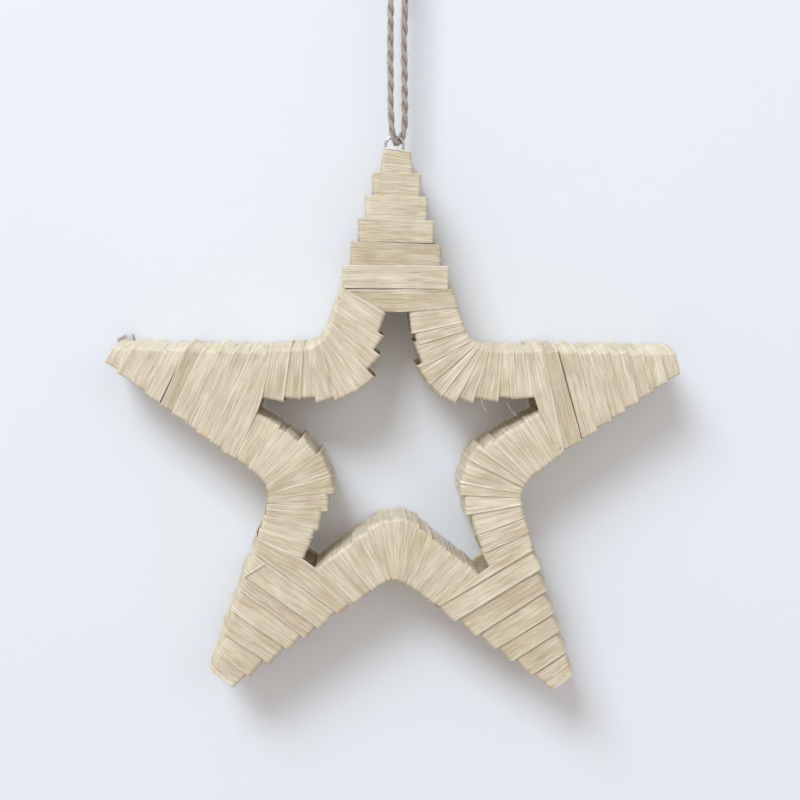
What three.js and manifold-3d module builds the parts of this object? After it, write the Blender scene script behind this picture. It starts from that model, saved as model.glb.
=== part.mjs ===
// A hanging five-pointed star, open in the middle, wound all over with flat straw strip.
// Millimetres, +X right, +Y away from the viewer, +Z up. The origin is the inside top of the
// twine loop, where the nail that carries the star bears.

import * as THREE from 'three';
import { mergeVertices } from 'three/addons/utils/BufferGeometryUtils.js';
import Module from 'manifold-3d';

const wasm = await Module();
wasm.setup();

// Sizes of the star, measured from its centre in the plane of its front face
const starDepth = 35;
const valleyRadius = 68;
const bulgeRadius = 33;
const notchRadius = 72;
const notchHalfWidth = 6;
const tipHalfWidth = 7.2;
const bulgeRounding = 0.2;

// The straw strip
const stripThickness = 0.4;
const stripLap = 0.9;
const edgeBevel = 1.3;
const bevelShare = 0.35;
const wrapGap = 0.3;

// How far each arm's blunt end reaches from the centre
const topReach = 157;
const leftReach = 158;
const lowerLeftReach = 152;
const lowerRightReach = 153;
const rightReach = 156;

// The arms, anticlockwise from the top: turns of strip, the lean of the turns in degrees, and how
// much slimmer the blunt end is. The last turn ends outset beyond notchRadius, and further out at
// its sides by shoulders. The hole's corner is narrower there by pinch. Each pair is for the
// anticlockwise side first.
const arms = [
  {
    name: 'top', reach: topReach, turns: 7, lean: -4,
    slimmer: 0, outset: 0, shoulders: [8, 3], pinch: [0, 0],
  },
  {
    name: 'left', reach: leftReach, turns: 10, lean: -9,
    slimmer: 1.2, outset: 3, shoulders: [4.4, 4], pinch: [1.4, 3.4],
  },
  {
    name: 'lower_left', reach: lowerLeftReach, turns: 7, lean: 1,
    slimmer: 0, outset: 4, shoulders: [4, 7], pinch: [2.3, 2.3],
  },
  {
    name: 'lower_right', reach: lowerRightReach, turns: 7, lean: -3,
    slimmer: 0, outset: 8, shoulders: [3, 3], pinch: [3, 3],
  },
  {
    name: 'right', reach: rightReach, turns: 9, lean: -4,
    slimmer: 0, outset: 6, shoulders: [5, 4.2], pinch: [3.4, 1.4],
  },
];

// The bends between neighbouring arms, anticlockwise from the one after the top arm: turns of
// strip, and how much of the limbs the rounding of the valley takes up
const bends = [
  { name: 'upper_left', turns: 9, rounding: 0.4 },
  { name: 'lower_left', turns: 10, rounding: 0.5 },
  { name: 'bottom', turns: 11, rounding: 0.4 },
  { name: 'lower_right', turns: 11, rounding: 0.5 },
  { name: 'upper_right', turns: 10, rounding: 0.4 },
];

// The fold of strip that stands up behind the end of the left arm
const foldLength = 10;
const foldHeight = 3.4;
const foldThickness = 1.4;
const foldSink = 2.2;
const foldOverhang = 4;

// The wire eye in the top arm
const wireDiameter = 1.5;
const eyeOuterDiameter = 11.4;
const eyeRise = 4;
const eyeOffset = -1.2;
const shankLength = 18;
const shankClearance = 0.3;

// The twine loop: the eye's centre hangs this far below the nail
const eyeDrop = 92;
const twineDiameter = 3.4;
const twineSides = 8;
const twineSteps = 80;

// The knot that closes the loop
const knotHeight = 9.5;
const knotRadius = 4.4;
const knotTurnRadius = 3.5;
const knotTurnTilt = 24;
const tailLength = 15;
const tailStart = 1.5;
const tailSpread = 5;
const tailTurn = 1.2;

// Colours and finishes
const straw = { color: 0xd8c9a6, roughness: 0.62, metalness: 0 };
const strawShade = { color: 0xd2c29c, roughness: 0.62, metalness: 0 };
const steel = { color: 0xc9cbce, roughness: 0.28, metalness: 1 };
const jute = { color: 0xb9a88e, roughness: 0.95, metalness: 0 };

const armStep = (2 * Math.PI) / arms.length;
const bendHalfAngle = armStep / 2;
const eyeCentre = new THREE.Vector3(eyeOffset, 0, -eyeDrop);
const starCentre = new THREE.Vector3(0, 0, eyeCentre.z - eyeRise - arms[0].reach);

// Closed mesh to solid and back
function toSolid(geometry) {
  const bare = geometry.clone();
  bare.deleteAttribute('normal');
  bare.deleteAttribute('uv');
  const merged = mergeVertices(bare);
  return new wasm.Manifold(new wasm.Mesh({
    numProp: 3,
    vertProperties: new Float32Array(merged.attributes.position.array),
    triVerts: new Uint32Array(merged.index.array),
  }));
}

function toGeometry(solid) {
  const mesh = solid.getMesh();
  const geometry = new THREE.BufferGeometry();
  geometry.setAttribute('position', new THREE.BufferAttribute(new Float32Array(mesh.vertProperties), 3));
  geometry.setIndex(new THREE.BufferAttribute(new Uint32Array(mesh.triVerts), 1));
  geometry.computeVertexNormals();
  return geometry;
}

function joined(solids) {
  return solids.reduce((whole, solid) => whole.add(solid));
}

// A flat outline in the star's plane, given thickness and moved to the star's place
function slab(outline, frontY, backY, bevel) {
  const geometry = new THREE.ExtrudeGeometry(new THREE.Shape(outline), {
    depth: backY - frontY - 2 * bevel,
    bevelEnabled: bevel > 0,
    bevelThickness: bevel,
    bevelSize: bevel,
    bevelOffset: -bevel,
    bevelSegments: 1,
    steps: 1,
  });
  geometry.rotateX(Math.PI / 2);
  geometry.translate(starCentre.x, backY - bevel, starCentre.z);
  return geometry;
}

// One turn of strip round the whole depth of the star; every other turn lies over its neighbours.
// Its edges are bevelled, by no more than a share of its narrowest end.
function stripTurn(outline, index, narrowest) {
  const half = starDepth / 2 - (index % 2 === 0 ? 0 : stripThickness);
  return toSolid(slab(outline, -half, half, Math.min(edgeBevel, bevelShare * narrowest)));
}

// A point of the star's plane: along an arm's axis from the centre, and across it anticlockwise
function armPoint(armIndex, along, across) {
  const angle = Math.PI / 2 + armStep * armIndex;
  const axis = new THREE.Vector2(Math.cos(angle), Math.sin(angle));
  const side = new THREE.Vector2(-axis.y, axis.x);
  return axis.multiplyScalar(along).addScaledVector(side, across);
}

// Half the width of an arm, which tapers evenly from the valleys to its blunt end
function armHalfWidth(arm, along) {
  const valleyAlong = valleyRadius * Math.cos(bendHalfAngle);
  const valleyHalf = valleyRadius * Math.sin(bendHalfAngle);
  const share = (arm.reach - along) / (arm.reach - valleyAlong);
  return THREE.MathUtils.lerp(tipHalfWidth - arm.slimmer, valleyHalf, share);
}

// Where an arm's last turn meets the bends: the two points of its side and the hole's corner, for
// the anticlockwise side (1) or the other (-1), moved towards the centre by a gap
function rootLine(armIndex, side, gap) {
  const arm = arms[armIndex];
  const pair = side > 0 ? 0 : 1;
  const corner = notchRadius + arm.outset - gap;
  const shoulder = corner + arm.shoulders[pair];
  return {
    shoulder: armPoint(armIndex, shoulder, side * armHalfWidth(arm, shoulder)),
    notch: armPoint(armIndex, corner, side * (notchHalfWidth - arm.pinch[pair])),
  };
}

// The strip wound round an arm, from its blunt end down to the corner of the hole. Each turn is
// straight-sided, so the taper comes down in steps, and the lean dies out towards the last turn,
// which ends along the lines where the bends begin.
function armWrap(armIndex) {
  const arm = arms[armIndex];
  const pitch = (arm.reach - notchRadius - arm.outset) / arm.turns;
  const turns = [];
  for (let i = 0; i < arm.turns; i += 1) {
    const outerEnd = arm.reach - i * pitch + (i > 0 ? stripLap : 0);
    const innerEnd = arm.reach - (i + 1) * pitch;
    const middle = (outerEnd + innerEnd) / 2;
    const halfWidth = armHalfWidth(arm, arm.reach - (i + 0.5) * pitch);
    const lean = THREE.MathUtils.degToRad(arm.lean) * (1 - i / (arm.turns - 1));
    const pivot = armPoint(armIndex, middle, 0);
    let corners = [
      armPoint(armIndex, innerEnd, -halfWidth),
      armPoint(armIndex, outerEnd, -halfWidth),
      armPoint(armIndex, outerEnd, halfWidth),
      armPoint(armIndex, innerEnd, halfWidth),
    ];
    if (i === arm.turns - 1) {
      const left = rootLine(armIndex, 1, 0);
      const right = rootLine(armIndex, -1, 0);
      corners = [right.shoulder, corners[1], corners[2], left.shoulder, left.notch, right.notch];
    }
    corners.forEach((corner) => corner.rotateAround(pivot, lean));
    turns.push(stripTurn(corners, i, pitch));
  }
  return joined(turns);
}

// A path of two straight stretches with the corner between them rounded
function roundedPath(start, corner, end, rounding) {
  const path = new THREE.Path();
  const before = corner.clone().lerp(start, rounding);
  const after = corner.clone().lerp(end, rounding);
  path.moveTo(start.x, start.y);
  path.lineTo(before.x, before.y);
  path.quadraticCurveTo(corner.x, corner.y, after.x, after.y);
  path.lineTo(end.x, end.y);
  return path;
}

// The outline of one turn at a bend: two chords from the outer edge to the inner edge, cut square
// across the inner end at the further chord's reach, so that the turns stand out in steps. A side
// that lies along an arm keeps to the inner edge.
function bendTurnOutline(outerPath, innerPath, from, to) {
  const outer = [outerPath.getPoint(from), outerPath.getPoint(to)];
  const inner = [innerPath.getPoint(from), innerPath.getPoint(to)];
  const outerMiddle = outer[0].clone().lerp(outer[1], 0.5);
  const innerMiddle = inner[0].clone().lerp(inner[1], 0.5);
  const direction = innerMiddle.clone().sub(outerMiddle).normalize();
  const reachOf = (point) => point.clone().sub(outerMiddle).dot(direction);
  const reach = Math.max(reachOf(inner[0]), reachOf(inner[1]));
  const besideArm = [from === 0, to === 1];
  const ends = [0, 1].map((side) => {
    if (besideArm[side]) {
      return inner[side];
    }
    const share = (reach - reachOf(outer[side])) / (reachOf(inner[side]) - reachOf(outer[side]));
    return outer[side].clone().lerp(inner[side], share);
  });
  return [outer[0], outer[1], ends[1], ends[0]];
}

// The strip wound round the two limbs that meet at a valley, fanning out from the valley
function bendWrap(bendIndex) {
  const bend = bends[bendIndex];
  const first = rootLine(bendIndex, 1, wrapGap);
  const last = rootLine((bendIndex + 1) % arms.length, -1, wrapGap);
  const valley = armPoint(bendIndex + 0.5, valleyRadius, 0);
  const bulge = armPoint(bendIndex + 0.5, bulgeRadius, 0);
  const outerPath = roundedPath(first.shoulder, valley, last.shoulder, bend.rounding);
  const innerPath = roundedPath(first.notch, bulge, last.notch, bulgeRounding);
  const lapShare = stripLap / innerPath.getLength();
  const narrowest = outerPath.getLength() / bend.turns;
  const turns = [];
  for (let i = 0; i < bend.turns; i += 1) {
    const from = i / bend.turns - (i > 0 ? lapShare : 0);
    const to = (i + 1) / bend.turns;
    turns.push(stripTurn(bendTurnOutline(outerPath, innerPath, from, to), i, narrowest));
  }
  return joined(turns);
}

// The fold at the back of the left arm's end: two low peaks standing on its upper edge and out
// past its blunt end
function leftFold() {
  const armIndex = 1;
  const arm = arms[armIndex];
  const edge = arm.slimmer - tipHalfWidth;
  const start = arm.reach + foldOverhang - foldLength;
  const outline = [
    armPoint(armIndex, start, edge + foldSink),
    armPoint(armIndex, start, edge),
    armPoint(armIndex, start + 0.35 * foldLength, edge - foldHeight),
    armPoint(armIndex, start + 0.6 * foldLength, edge - 0.4 * foldHeight),
    armPoint(armIndex, start + 0.75 * foldLength, edge - 0.5 * foldHeight),
    armPoint(armIndex, start + foldLength, edge),
    armPoint(armIndex, start + foldLength, edge + foldSink),
  ];
  const backY = starDepth / 2 - edgeBevel - wrapGap;
  return toSolid(slab(outline, backY - foldThickness, backY, 0));
}

// The eye: a ring of wire with a straight shank. Grown by a clearance it is also the seat for it.
function eyeSolid(clearance) {
  const wireRadius = wireDiameter / 2 + clearance;
  const ringRadius = (eyeOuterDiameter - wireDiameter) / 2;
  const length = shankLength + clearance;
  const ring = new THREE.TorusGeometry(ringRadius, wireRadius, 8, 28);
  ring.rotateX(Math.PI / 2);
  ring.translate(eyeCentre.x, eyeCentre.y, eyeCentre.z);
  const shank = new THREE.CylinderGeometry(wireRadius, wireRadius, length, 10);
  shank.rotateX(Math.PI / 2);
  shank.translate(eyeCentre.x, eyeCentre.y, eyeCentre.z - ringRadius - length / 2);
  return joined([toSolid(ring), toSolid(shank)]);
}

// A many-sided rod of twine along a smooth path
function twineRod(points, steps) {
  const section = new THREE.Shape();
  for (let i = 0; i < twineSides; i += 1) {
    const angle = (2 * Math.PI * i) / twineSides;
    const x = (twineDiameter / 2) * Math.cos(angle);
    const y = (twineDiameter / 2) * Math.sin(angle);
    if (i === 0) {
      section.moveTo(x, y);
    } else {
      section.lineTo(x, y);
    }
  }
  const path = new THREE.CatmullRomCurve3(points, false, 'centripetal');
  return new THREE.ExtrudeGeometry(section, { steps, extrudePath: path, bevelEnabled: false });
}

// The twine's route: down from the knot on the left of the nail, in front of the eye, through it
// to the back, and up again on the right
const twineRoute = [
  [-2.0, -0.2, 0.4],
  [-3.4, -0.4, -3.0],
  [-3.9, -0.6, -8.0],
  [-4.0, -0.9, -15.0],
  [-3.9, -1.2, -26.0],
  [-4.0, -1.6, -40.0],
  [-3.7, -2.0, -54.0],
  [-3.6, -2.4, -67.0],
  [-3.3, -2.8, -77.0],
  [-2.8, -3.1, -83.5],
  [-2.0, -3.0, -87.5],
  [-1.0, -1.8, -90.0],
  [-0.2, 0.0, -90.8],
  [0.8, 1.9, -90.1],
  [2.4, 3.1, -87.6],
  [3.9, 3.1, -83.5],
  [4.2, 2.7, -77.0],
  [4.1, 2.2, -67.0],
  [3.9, 1.8, -54.0],
  [3.4, 1.4, -40.0],
  [3.6, 1.0, -26.0],
  [3.7, 0.7, -15.0],
  [3.4, 0.5, -8.0],
  [3.0, 0.3, -3.0],
  [2.0, 0.2, 0.4],
].map(([x, y, z]) => new THREE.Vector3(x, y, z));

// The knot: a barrel with two slanting turns of twine round it, and the two ends of the twine
function knotSolid() {
  const bottom = twineRoute[0].z + wrapGap;
  const middle = bottom + knotHeight / 2;
  const profile = [
    [0, bottom],
    [0.6 * knotRadius, bottom],
    [knotRadius, bottom + 0.25 * knotHeight],
    [knotRadius, bottom + 0.7 * knotHeight],
    [0.6 * knotRadius, bottom + knotHeight],
    [0, bottom + knotHeight],
  ].map(([x, z]) => new THREE.Vector2(x, z));
  const barrel = new THREE.LatheGeometry(profile, 14);
  barrel.rotateX(Math.PI / 2);
  const pieces = [toSolid(barrel)];
  for (const side of [-1, 1]) {
    const turn = new THREE.TorusGeometry(knotTurnRadius, twineDiameter / 2, 8, 16);
    turn.rotateY(THREE.MathUtils.degToRad(side * knotTurnTilt));
    turn.translate(0, 0, middle + side * 0.12 * knotHeight);
    pieces.push(toSolid(turn));
    const foot = bottom + knotHeight - twineDiameter / 2;
    const tail = [
      new THREE.Vector3(side * tailStart, 0, foot),
      new THREE.Vector3(side * 0.5 * tailSpread, side * 0.7 * tailTurn, foot + 0.45 * tailLength),
      new THREE.Vector3(side * tailSpread, side * tailTurn, foot + tailLength),
    ];
    pieces.push(toSolid(twineRod(tail, 5)));
  }
  return joined(pieces);
}

function addPiece(group, name, geometry, finish) {
  const mesh = new THREE.Mesh(geometry, new THREE.MeshStandardMaterial(finish));
  mesh.name = name;
  group.add(mesh);
}

const star = new THREE.Group();

arms.forEach((arm, index) => {
  let wrap = armWrap(index);
  if (arm.name === 'top') {
    wrap = wrap.subtract(eyeSolid(shankClearance));
  }
  if (arm.name === 'left') {
    wrap = wrap.add(leftFold());
  }
  addPiece(star, `${arm.name}_arm_wrap`, toGeometry(wrap), straw);
});

bends.forEach((bend, index) => {
  addPiece(star, `${bend.name}_bend_wrap`, toGeometry(bendWrap(index)), strawShade);
});

addPiece(star, 'hanging_eye', toGeometry(eyeSolid(0)), steel);
addPiece(star, 'twine_loop', twineRod(twineRoute, twineSteps), jute);
addPiece(star, 'twine_knot', toGeometry(knotSolid()), jute);

export default star;
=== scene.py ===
"""A five-pointed star, open in the middle, wound with flat straw strip and hung on jute twine.

Lengths are in millimetres here and become metres when a mesh is made. In the plane of the star a
point is (x, z) from the star's centre; depth is y, with the front face at minus half the depth.
"""

import math

import bpy
import numpy as np
from mathutils import Matrix


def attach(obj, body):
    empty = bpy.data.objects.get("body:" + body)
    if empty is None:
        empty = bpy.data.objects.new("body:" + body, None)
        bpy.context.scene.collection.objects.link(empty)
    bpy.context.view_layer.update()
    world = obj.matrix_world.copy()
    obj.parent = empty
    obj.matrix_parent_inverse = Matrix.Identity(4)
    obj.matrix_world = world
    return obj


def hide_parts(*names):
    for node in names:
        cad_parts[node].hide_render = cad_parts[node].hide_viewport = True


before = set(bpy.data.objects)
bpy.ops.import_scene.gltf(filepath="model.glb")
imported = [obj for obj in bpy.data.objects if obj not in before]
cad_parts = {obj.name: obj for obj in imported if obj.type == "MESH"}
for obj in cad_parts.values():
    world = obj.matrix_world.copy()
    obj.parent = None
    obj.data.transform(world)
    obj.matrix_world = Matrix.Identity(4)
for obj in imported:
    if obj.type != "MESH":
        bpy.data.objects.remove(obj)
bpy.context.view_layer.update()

MM = 0.001

# Star, as the frame has it
STAR_DEPTH = 35.0
VALLEY_RADIUS = 68.0
BULGE_RADIUS = 33.0
BULGE_ROUNDING = 0.2
VALLEY_CROWDING = 0.6
ROOT_GAP = 0.3
TOP_REACH = 157.0
ARM_STEP = math.tau / 5
LEFT_ARM = 1

# Straw strip: its thickness, how far a turn runs on under the next one and under an arm that lies
# over it, how deep its edge is drawn in, and how far the wrap stays behind the frame's face
STRIP_THICKNESS = 0.38
STRIP_TUCK = 2.4
UNDERLAP = 1.4
EDGE_RECESS = 2.2
BEND_CORNER_RADIUS = 1.8
FACE_CLEARANCE = 0.45
ROW_STEP = 0.4
ROWS_FEWEST, ROWS_MOST = 14, 36

# Relief of the strip: ridges run all the way round, creases a part of it
RIDGES = {"count": (4, 9), "height": (0.05, 0.16), "width": (0.25, 0.6), "margin": 0.4, "wander": 0.9}
CREASES = {"count": (12, 20), "height": (0.06, 0.17), "width": (0.3, 0.6), "margin": 0.3, "length": (3, 10)}
WAVES = (1, 2, 3, 5, 7)
EDGE_WANDER = 0.12
EDGE_BEAD_HEIGHT, EDGE_BEAD_WIDTH = 0.12, 0.5
EDGE_RIPPLE = 0.25
PAINTED_HIGHLIGHT_WIDTH = 0.45
FACE_CROWN = 0.3
TURN_SLANT = 2.0
BOW_START = 4.0
MAP_LENGTH = 900.0

# Sloping upper sides: how deep they go, from which slope on they fray, and how far
BROW_DEPTH = 14.0
FRAY_FROM = 2.6
FRAY_HEIGHT, FRAY_WIDTH = 0.45, 1.6

# Slits: how deep the strip under them lies, how far it reaches either way, and how much slimmer it is. That
# strip is painted in shade
SLIT_DEPTH = 1.1
SLIT_REACH = (2.0, -3.0)
SLIT_INSET = 0.6

# Strips folded over a blunt end: each one's place across it, half width and how far it stands off,
# for an end of half width FOLD_TIP
END_FOLDS = ((-3.4, 3.9, 0.2), (3.3, 4.0, 0.35), (0.1, 4.2, 0.75))
FOLD_TIP = 7.6
FOLD_LENGTH = 11.0
FOLD_RADIUS = 2.4
FOLD_SINK = 0.3

# Wire eye
EYE_DROP = 92.0
EYE_RISE = 4.0
EYE_OFFSET = -1.2
EYE_RING_RADIUS = 4.95
WIRE_RADIUS = 0.75
SHANK_LENGTH = 18.0
SHANK_START = 0.55
STAR_Z = -(EYE_DROP + EYE_RISE + TOP_REACH)

# Twine: two plies, and where the knot and its ends are
TWINE_DIAMETER = 3.4
PLY_RADIUS = 1.12
PLY_OFFSET = 0.66
TWIST_PITCH = 16.5
TWINE_STEP = 0.35
KNOT_STEP = 0.4
TWINE_SIDES = 32
TWINE_TONE = 0.85
KNOT_BOTTOM, KNOT_HEIGHT, KNOT_RADIUS = 0.7, 9.5, 3.0
KNOT_END = [(1.6, 0.2, 1.6), (1.3, 0.4, 5.925), (1.6, 0.5, 10.2), (2.7, 0.8, 14.7), (4.4, 1.1, 19.7),
            (5.2, 1.2, 22.4)]

# Stray hairs of the twine: how many, how far they reach, and their shape
LOOP_HAIRS, LOOP_HAIR_REACH = 700, 3.4
KNOT_HAIRS, KNOT_HAIR_REACH = 30, 2.2
HAIR_LENGTH = (0.35, 1.0)
HAIR_RADIUS = (0.05, 0.11)
HAIR_ROOT, HAIR_RISE, HAIR_RUN, HAIR_CURL = 0.33, 0.34, 1.3, 0.5

# Sheets of the fold behind the left end: depth, low and high hump, and length
FOLD_SHEETS = ((15.2, 3.2, 5.0, 10.8), (14.1, 2.4, 4.0, 10.0))
LOW_PLACE, LOW_WIDTH = 0.28, 0.18
HIGH_PLACE, HIGH_WIDTH = 0.66, 0.2

# Loose fibres: pixels in an 800 by 800 frame, and each one's radius in millimetres. The star's
# centre is at FRAME_CENTRE and a pixel there is PIXEL_SIZE wide
PIXEL_SIZE = 0.526
FRAME_CENTRE = (395.5, 448.0)
FIBRE_STAND = 0.7
FIBRES = [
    ([(243.5, 578), (254, 571), (266, 563)], 0.3),
    ([(270.5, 566.5), (275, 578), (286, 594)], 0.2),
    ([(303, 560), (317.4, 571.8), (333, 584), (349, 598.5)], 0.16),
    ([(307, 534.5), (311, 537.5), (314.5, 537)], 0.18),
    ([(481, 398), (483, 405), (487, 411)], 0.1),
    ([(507, 402), (511, 409), (517, 415)], 0.1),
    ([(458.6, 452.5), (457.6, 458.5), (460, 464), (465, 469)], 0.24),
    ([(557, 447), (560.5, 443.5), (563.5, 446), (560, 452.5)], 0.14),
]

# Wall and light, in metres: the wall lets light by that has come less than WALL_NEAR
WALL_HALF = 3.0
WALL_PLACE = 0.0189
WALL_NEAR = 0.003
LAMP_TARGET = (0.0, 0.0, -0.25)
LAMP_COLOUR = (0.80, 0.905, 1.0)
ROOM_COLOUR = (1.0, 0.93, 0.862, 1.0)
ROOM_STRENGTH = 0.635

# Camera: its eye in metres, its turn (yaw, pitch, roll) in degrees, and its lens
CAMERA_EYE = (-0.0197, -0.6175, -0.1699)
CAMERA_TURN = (1.1, 1.6, 0.43)
CAMERA_SHIFT = (0.0238, -0.0968)
FOCAL_PIXELS, FRAME_PIXELS = 1143.6, 800.0
SENSOR_WIDTH = 36.0

# Arms, anticlockwise from the top. Pairs are for the anticlockwise side first.
# edges: where the turns begin, from the centre, down to the corner of the hole.
# lean: of the turns, in degrees, at the blunt end, next to it and at the root.
# tip: half the blunt end's width. sway: how far the root and the blunt end sit off the axis.
# lift: how far an exposed edge stands off. corner: radius of the limb's edges.
# steps: how far the sides step in and out rather than taper evenly.
# shoulders: how much further out the wrap ends at the side. notch: half widths of the hole's corner.
# slits: turns with an open slit before them, and its width at either side.
# brow: how far the front edge is drawn in, so that the side slopes towards the viewer.
# over: whether the last turn lies over the bend's first. tones: the range of the turns' tones.
ARMS = [
    dict(name="top", edges=[157, 144.8, 132.7, 120.5, 108.4, 96.3, 84.1, 72], lean=(-10.0, -2.5, 0.0),
         tip=6.7, sway=(0.5, 0.0), lift=0.38, corner=1.3, steps=(0.9, 1.0), shoulders=(14.0, 3.0),
         notch=(6.0, 6.0), slits={4: (0.0, 0.5), 6: (0.55, 0.1)}, brow=(1.0, 1.0), over=(False, True),
         tones=(0.25, 0.75)),
    dict(name="left", edges=[158, 149.5, 141, 132, 123, 115, 107, 99, 91, 83, 75], lean=(-10.0, -8.0, -6.0),
         tip=6.0, sway=(0.0, -0.8), lift=0.28, corner=1.1, steps=(0.18, 0.25), shoulders=(4.4, 4.0),
         notch=(4.6, 2.6), slits={4: (0.55, -0.1)}, brow=(0.5, 3.6), over=(True, True), tones=(0.5, 1.0)),
    dict(name="lower_left", edges=[152.6, 143, 132, 120, 109, 101, 88.3, 76], lean=(0.0, 2.0, -1.0),
         tip=8.1, sway=(-0.5, -1.9), lift=0.65, corner=2.4, steps=(0.6, 0.4), shoulders=(4.0, 7.0),
         notch=(3.7, 3.7), slits={}, brow=(0.5, 1.8), over=(True, True), tones=(0.05, 0.55)),
    dict(name="lower_right", edges=[153.4, 141, 129, 119, 107, 95, 84, 80], lean=(0.0, -3.0, -4.0),
         tip=7.2, sway=(-1.2, 0.2), lift=0.7, corner=1.8, steps=(0.4, 0.35), shoulders=(3.0, 3.0),
         notch=(2.9, 2.9), slits={1: (0.45, 0.15)}, brow=(1.8, 0.5), over=(True, True), tones=(0.05, 0.5)),
    dict(name="right", edges=[156, 148, 139.5, 131, 122.5, 114, 105.5, 96.8, 87.5, 78],
         lean=(-6.0, -2.0, -4.5), tip=7.2, sway=(0.0, -1.0), lift=0.28, corner=1.1, steps=(0.25, 0.3),
         shoulders=(5.0, 4.2), notch=(2.6, 4.6), slits={7: (2.1, -0.3)}, brow=(3.6, 0.5),
         over=(True, True), tones=(0.25, 0.7)),
]

# Bends between neighbouring arms, anticlockwise from the one after the top arm. rounding: of the
# valley. square: how square the turns' inner ends are cut.
BENDS = [
    dict(name="upper_left", turns=9, lift=0.4, rounding=0.35, square=1.0, brow=(1.2, 3.4)),
    dict(name="lower_left", turns=10, lift=0.5, rounding=0.45, square=1.0, brow=(0.6, 1.0)),
    dict(name="bottom", turns=12, lift=0.35, rounding=0.32, square=0.45, brow=(0.4, 0.4)),
    dict(name="lower_right", turns=11, lift=0.5, rounding=0.45, square=0.8, brow=(1.0, 0.6)),
    dict(name="upper_right", turns=10, lift=0.35, rounding=0.35, square=0.9, brow=(3.4, 1.2)),
]

# Chance: of a turn's lean in degrees, of its half width, and of a bend turn's place; tones of the
# bends' turns and of the folded strips
LEAN_JITTER, WIDTH_JITTER, MARK_JITTER = 0.8, 0.2, 0.14
MIDDLE_TONES = (0.2, 0.8)
FOLD_TONES = (0.3, 0.7)

# Twine's route: down on the left, through the eye and up on the right
TWINE_ROUTE = np.array([
    (-2.0, -0.2, 0.4), (-3.4, -0.4, -3.0), (-3.9, -0.6, -8.0), (-4.0, -0.9, -15.0), (-3.9, -1.2, -26.0),
    (-4.0, -1.6, -40.0), (-3.7, -2.0, -54.0), (-3.6, -2.4, -67.0), (-3.3, -2.8, -77.0), (-2.8, -3.1, -83.5),
    (-2.0, -3.0, -87.5), (-1.0, -1.8, -90.0), (-0.2, 0.0, -90.8), (0.8, 1.9, -90.1), (2.4, 3.1, -87.6),
    (3.9, 3.1, -83.5), (4.2, 2.7, -77.0), (4.1, 2.2, -67.0), (3.9, 1.8, -54.0), (3.4, 1.4, -40.0),
    (3.6, 1.0, -26.0), (3.7, 0.7, -15.0), (3.4, 0.5, -8.0), (3.0, 0.3, -3.0), (2.0, 0.2, 0.4),
])


# Meshes from grids

def signed_volume(points, faces):
    """Six times the volume inside a closed mesh of triangles: the sum of a . (b x c)."""
    a, b, c = (points[faces[:, k]] for k in range(3))
    return np.einsum("ij,ij->", a, np.cross(b, c))


def closed_tube(rings, uv, pole_first, pole_last, painted_light_and_shade=None):
    """A closed skin over rings of points, (rows, columns, 3), with a pole at each end.

    Corner maps follow uv, (rows, columns + 1, 2). Returns points, triangles and their corner maps,
    with the triangles turned so that they face outwards, and each point's painted light: 1 for a
    painted highlight on an edge, -1 for painted shade in a slit or recess.
    """
    rows, columns = rings.shape[:2]
    painted_light_and_shade = np.zeros((rows, columns)) if painted_light_and_shade is None else painted_light_and_shade
    points = np.vstack([rings.reshape(-1, 3), pole_first, pole_last])
    i, j = np.meshgrid(np.arange(rows - 1), np.arange(columns), indexing="ij")
    i, j = i.ravel(), j.ravel()
    near, far = i * columns, (i + 1) * columns
    beside = (j + 1) % columns
    a, b, c, d = near + j, near + beside, far + beside, far + j
    uv_a, uv_b, uv_c, uv_d = uv[i, j], uv[i, j + 1], uv[i + 1, j + 1], uv[i + 1, j]
    faces = [np.stack([a, b, c], 1), np.stack([a, c, d], 1)]
    maps = [np.stack([uv_a, uv_b, uv_c], 1), np.stack([uv_a, uv_c, uv_d], 1)]
    k = np.arange(columns)
    for row, pole, order in ((0, rows * columns, 1), (rows - 1, rows * columns + 1, -1)):
        fan = np.stack([row * columns + (k + 1) % columns, row * columns + k, np.full(columns, pole)], 1)
        fan_uv = np.stack([uv[row, k + 1], uv[row, k], uv[row, k]], 1)
        faces.append(fan[:, ::order])
        maps.append(fan_uv[:, ::order])
    faces, maps = np.vstack(faces), np.vstack(maps)
    if signed_volume(points, faces) < 0:
        faces, maps = faces[:, ::-1], maps[:, ::-1]
    return points, faces, maps, np.concatenate([painted_light_and_shade.ravel(), [painted_light_and_shade[0, 0], painted_light_and_shade[-1, 0]]])


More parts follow.
